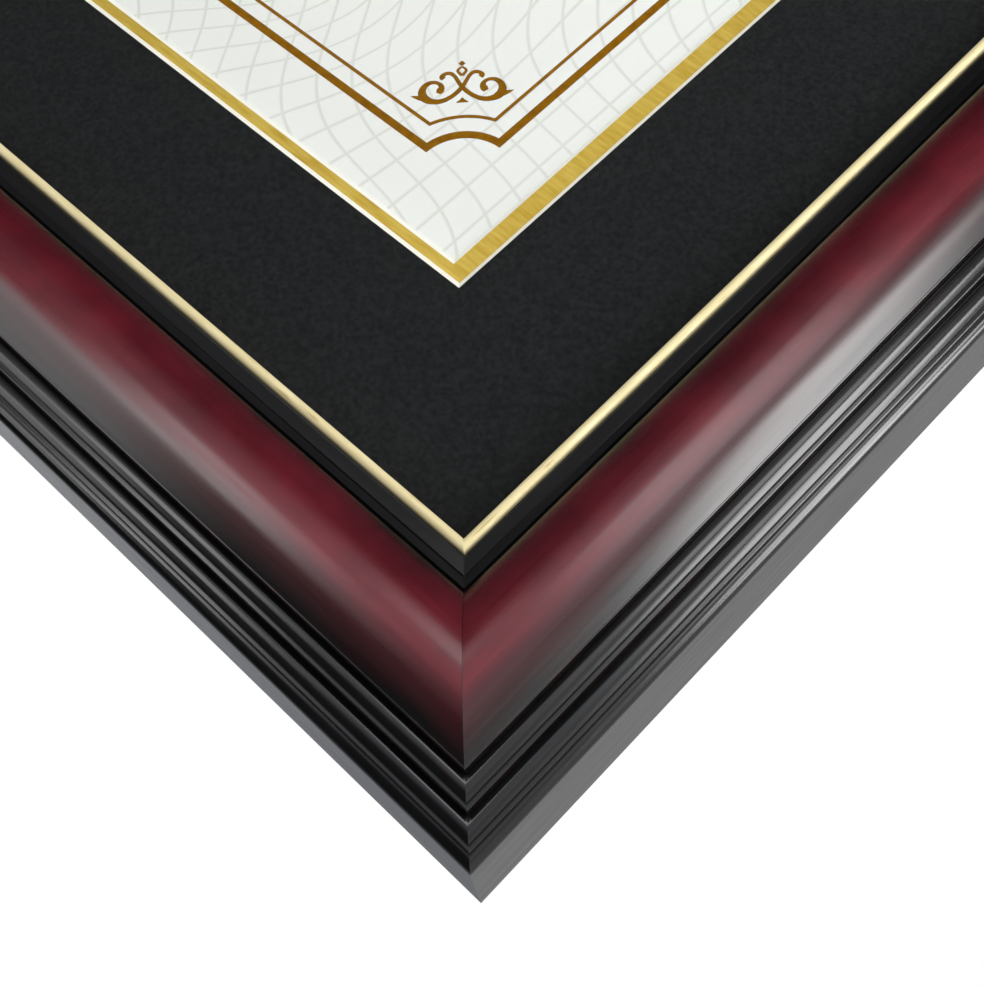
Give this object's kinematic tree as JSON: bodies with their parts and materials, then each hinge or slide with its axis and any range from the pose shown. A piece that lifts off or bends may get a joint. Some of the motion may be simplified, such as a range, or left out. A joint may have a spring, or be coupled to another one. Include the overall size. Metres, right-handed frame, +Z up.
{
  "type": "certificate frame",
  "caption": "Wall-hung landscape certificate frame: mitred red-to-black lacquered moulding with gilt sight edge, glass, black and gold mats, and a back held by turn buttons.",
  "frame": {"origin": "the middle notch of the top sawtooth hanger, on the plane of the wall", "axes": "+X to the right as seen from the front, +Y from the viewer to the wall, +Z up as it hangs in landscape"},
  "size_m": [0.4326, 0.0339, 0.3753],
  "materials": {
    "shaded_lacquer": "satin lacquer, mahogany red shaded to black",
    "gilding": "gold leaf",
    "picture_glass": "clear",
    "black_mat_board": "matte black face, white core",
    "gold_mat_board": "gold paper face, white core",
    "certificate_paper": "matte, printed",
    "mount_board": "matte",
    "filler_board": "matte",
    "hardboard": "smooth hardboard",
    "zinc_plate": "zinc plated",
    "brassed_steel": "brass plated",
    "bare_steel": "bare",
    "bumper_rubber": "matte"
  },
  "bodies": {
    "frame": {"top_rail": "shaded_lacquer", "top_gilt_slip": "gilding", "bottom_rail": "shaded_lacquer", "bottom_gilt_slip": "gilding", "left_rail": "shaded_lacquer", "left_gilt_slip": "gilding", "right_rail": "shaded_lacquer", "right_gilt_slip": "gilding", "glass": "picture_glass", "black_top_mat": "black_mat_board", "gold_under_mat": "gold_mat_board", "certificate": "certificate_paper", "mount_board": "mount_board", "front_filler_board": "filler_board", "rear_filler_board": "filler_board", "backing_board": "hardboard", "turn_button_screws": "zinc_plate", "sawtooth_hanger_top": "brassed_steel", "sawtooth_hanger_side": "brassed_steel", "hanger_nails": "brassed_steel", "corner_v_nails": "bare_steel", "wall_bumpers": "bumper_rubber"},
    "top_left_button": {"turn_button_top_left": "zinc_plate"},
    "top_right_button": {"turn_button_top_right": "zinc_plate"},
    "bottom_left_button": {"turn_button_bottom_left": "zinc_plate"},
    "bottom_right_button": {"turn_button_bottom_right": "zinc_plate"},
    "left_lower_button": {"turn_button_left_lower": "zinc_plate"},
    "left_upper_button": {"turn_button_left_upper": "zinc_plate"},
    "right_lower_button": {"turn_button_right_lower": "zinc_plate"},
    "right_upper_button": {"turn_button_right_upper": "zinc_plate"}
  },
  "joints": [
    {"name": "top_left_button_turn", "type": "hinge", "parent": "frame", "child": "top_left_button", "pos_m": [-0.1043, -0.0032, -0.0026], "axis": [0, 1, 0], "continuous": true},
    {"name": "top_right_button_turn", "type": "hinge", "parent": "frame", "child": "top_right_button", "pos_m": [0.1043, -0.0032, -0.0026], "axis": [0, 1, 0], "continuous": true},
    {"name": "bottom_left_button_turn", "type": "hinge", "parent": "frame", "child": "bottom_left_button", "pos_m": [-0.1043, -0.0032, -0.3339], "axis": [0, 1, 0], "continuous": true},
    {"name": "bottom_right_button_turn", "type": "hinge", "parent": "frame", "child": "bottom_right_button", "pos_m": [0.1043, -0.0032, -0.3339], "axis": [0, 1, 0], "continuous": true},
    {"name": "left_lower_button_turn", "type": "hinge", "parent": "frame", "child": "left_lower_button", "pos_m": [-0.1943, -0.0032, -0.2439], "axis": [0, 1, 0], "continuous": true},
    {"name": "left_upper_button_turn", "type": "hinge", "parent": "frame", "child": "left_upper_button", "pos_m": [-0.1943, -0.0032, -0.0926], "axis": [0, 1, 0], "continuous": true},
    {"name": "right_lower_button_turn", "type": "hinge", "parent": "frame", "child": "right_lower_button", "pos_m": [0.1943, -0.0032, -0.2439], "axis": [0, 1, 0], "continuous": true},
    {"name": "right_upper_button_turn", "type": "hinge", "parent": "frame", "child": "right_upper_button", "pos_m": [0.1943, -0.0032, -0.0926], "axis": [0, 1, 0], "continuous": true}
  ]
}
